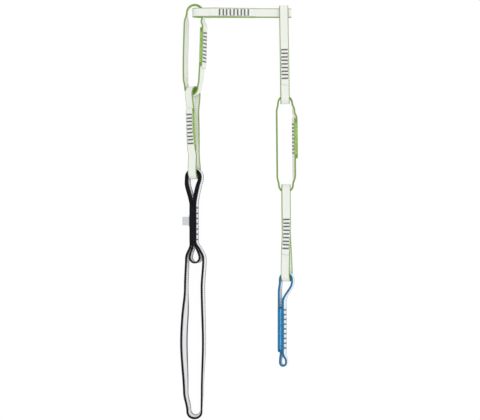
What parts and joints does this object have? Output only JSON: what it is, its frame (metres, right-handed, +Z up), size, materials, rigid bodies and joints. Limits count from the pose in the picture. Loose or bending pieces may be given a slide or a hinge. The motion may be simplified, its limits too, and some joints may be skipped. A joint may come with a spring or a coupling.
{
  "type": "climbing daisy chain",
  "caption": "Chain-style personal anchor: a sewn webbing tether, interlocked bar-tacked webbing links and a carabiner loop, laid flat in a long U.",
  "frame": {"origin": "centre of the whole chain's bounding box, on the floor it lies on", "axes": "+Y runs up the long U towards the link across its top, +X from the tether's column to the end loop's column, +Z up from the floor"},
  "size_m": [0.143, 0.5045, 0.0215],
  "materials": {
    "green_edged_webbing": "woven off-white webbing with green edges",
    "black_edged_webbing": "woven off-white webbing with black edges",
    "blue_edged_webbing": "woven off-white webbing with blue edges",
    "grey_thread": "grey bar-tack thread",
    "label_cloth": "bare light grey woven label"
  },
  "bodies": {
    "tether": {"tether_webbing": "black_edged_webbing", "tether_inner_loop": "black_edged_webbing", "tether_stitching": "grey_thread", "tether_label": "label_cloth"},
    "link_1": {"link_1_webbing": "green_edged_webbing", "link_1_stitching": "grey_thread"},
    "link_2": {"link_2_webbing": "green_edged_webbing", "link_2_stitching": "grey_thread"},
    "link_3": {"link_3_webbing": "green_edged_webbing", "link_3_stitching": "grey_thread"},
    "link_4": {"link_4_webbing": "green_edged_webbing", "link_4_stitching": "grey_thread"},
    "link_5": {"link_5_webbing": "green_edged_webbing", "link_5_stitching": "grey_thread"},
    "link_6": {"link_6_webbing": "green_edged_webbing", "link_6_stitching": "grey_thread"},
    "end_loop": {"end_loop_webbing": "blue_edged_webbing", "end_loop_stitching": "grey_thread"}
  },
  "joints": [
    {"name": "tether_eye_on_link_1", "type": "hinge", "parent": "tether", "child": "link_1", "pos_m": [-0.05467, 0.04013, 0.01081], "axis": [-0.3089, -0.0065, 0.9511], "range_deg": [-10, 60]},
    {"name": "link_1_on_link_2", "type": "hinge", "parent": "link_1", "child": "link_2", "pos_m": [-0.05665, 0.14276, 0.01106], "axis": [0.8289, 0.0174, 0.5592], "range_deg": [-75, 75]},
    {"name": "link_2_on_link_3", "type": "hinge", "parent": "link_2", "child": "link_3", "pos_m": [-0.05407, 0.24123, 0.00027], "axis": [0, 0, 1], "range_deg": [-8, 90]},
    {"name": "link_3_on_link_4", "type": "hinge", "parent": "link_3", "child": "link_4", "pos_m": [0.05393, 0.24153, 0.00027], "axis": [0, 0, 1], "range_deg": [-10, 12]},
    {"name": "link_4_on_link_5", "type": "hinge", "parent": "link_4", "child": "link_5", "pos_m": [0.05544, 0.13894, 0.00887], "axis": [0.9999, 0.014, 0], "range_deg": [-75, 75]},
    {"name": "link_5_on_link_6", "type": "hinge", "parent": "link_5", "child": "link_6", "pos_m": [0.05656, 0.03206, 0.00027], "axis": [0, 0, 1], "range_deg": [-20, 60]},
    {"name": "link_6_on_end_loop", "type": "hinge", "parent": "link_6", "child": "end_loop", "pos_m": [0.05752, -0.07655, 0.01], "axis": [0.9659, 0.0084, 0.2588], "range_deg": [-75, 75]}
  ]
}
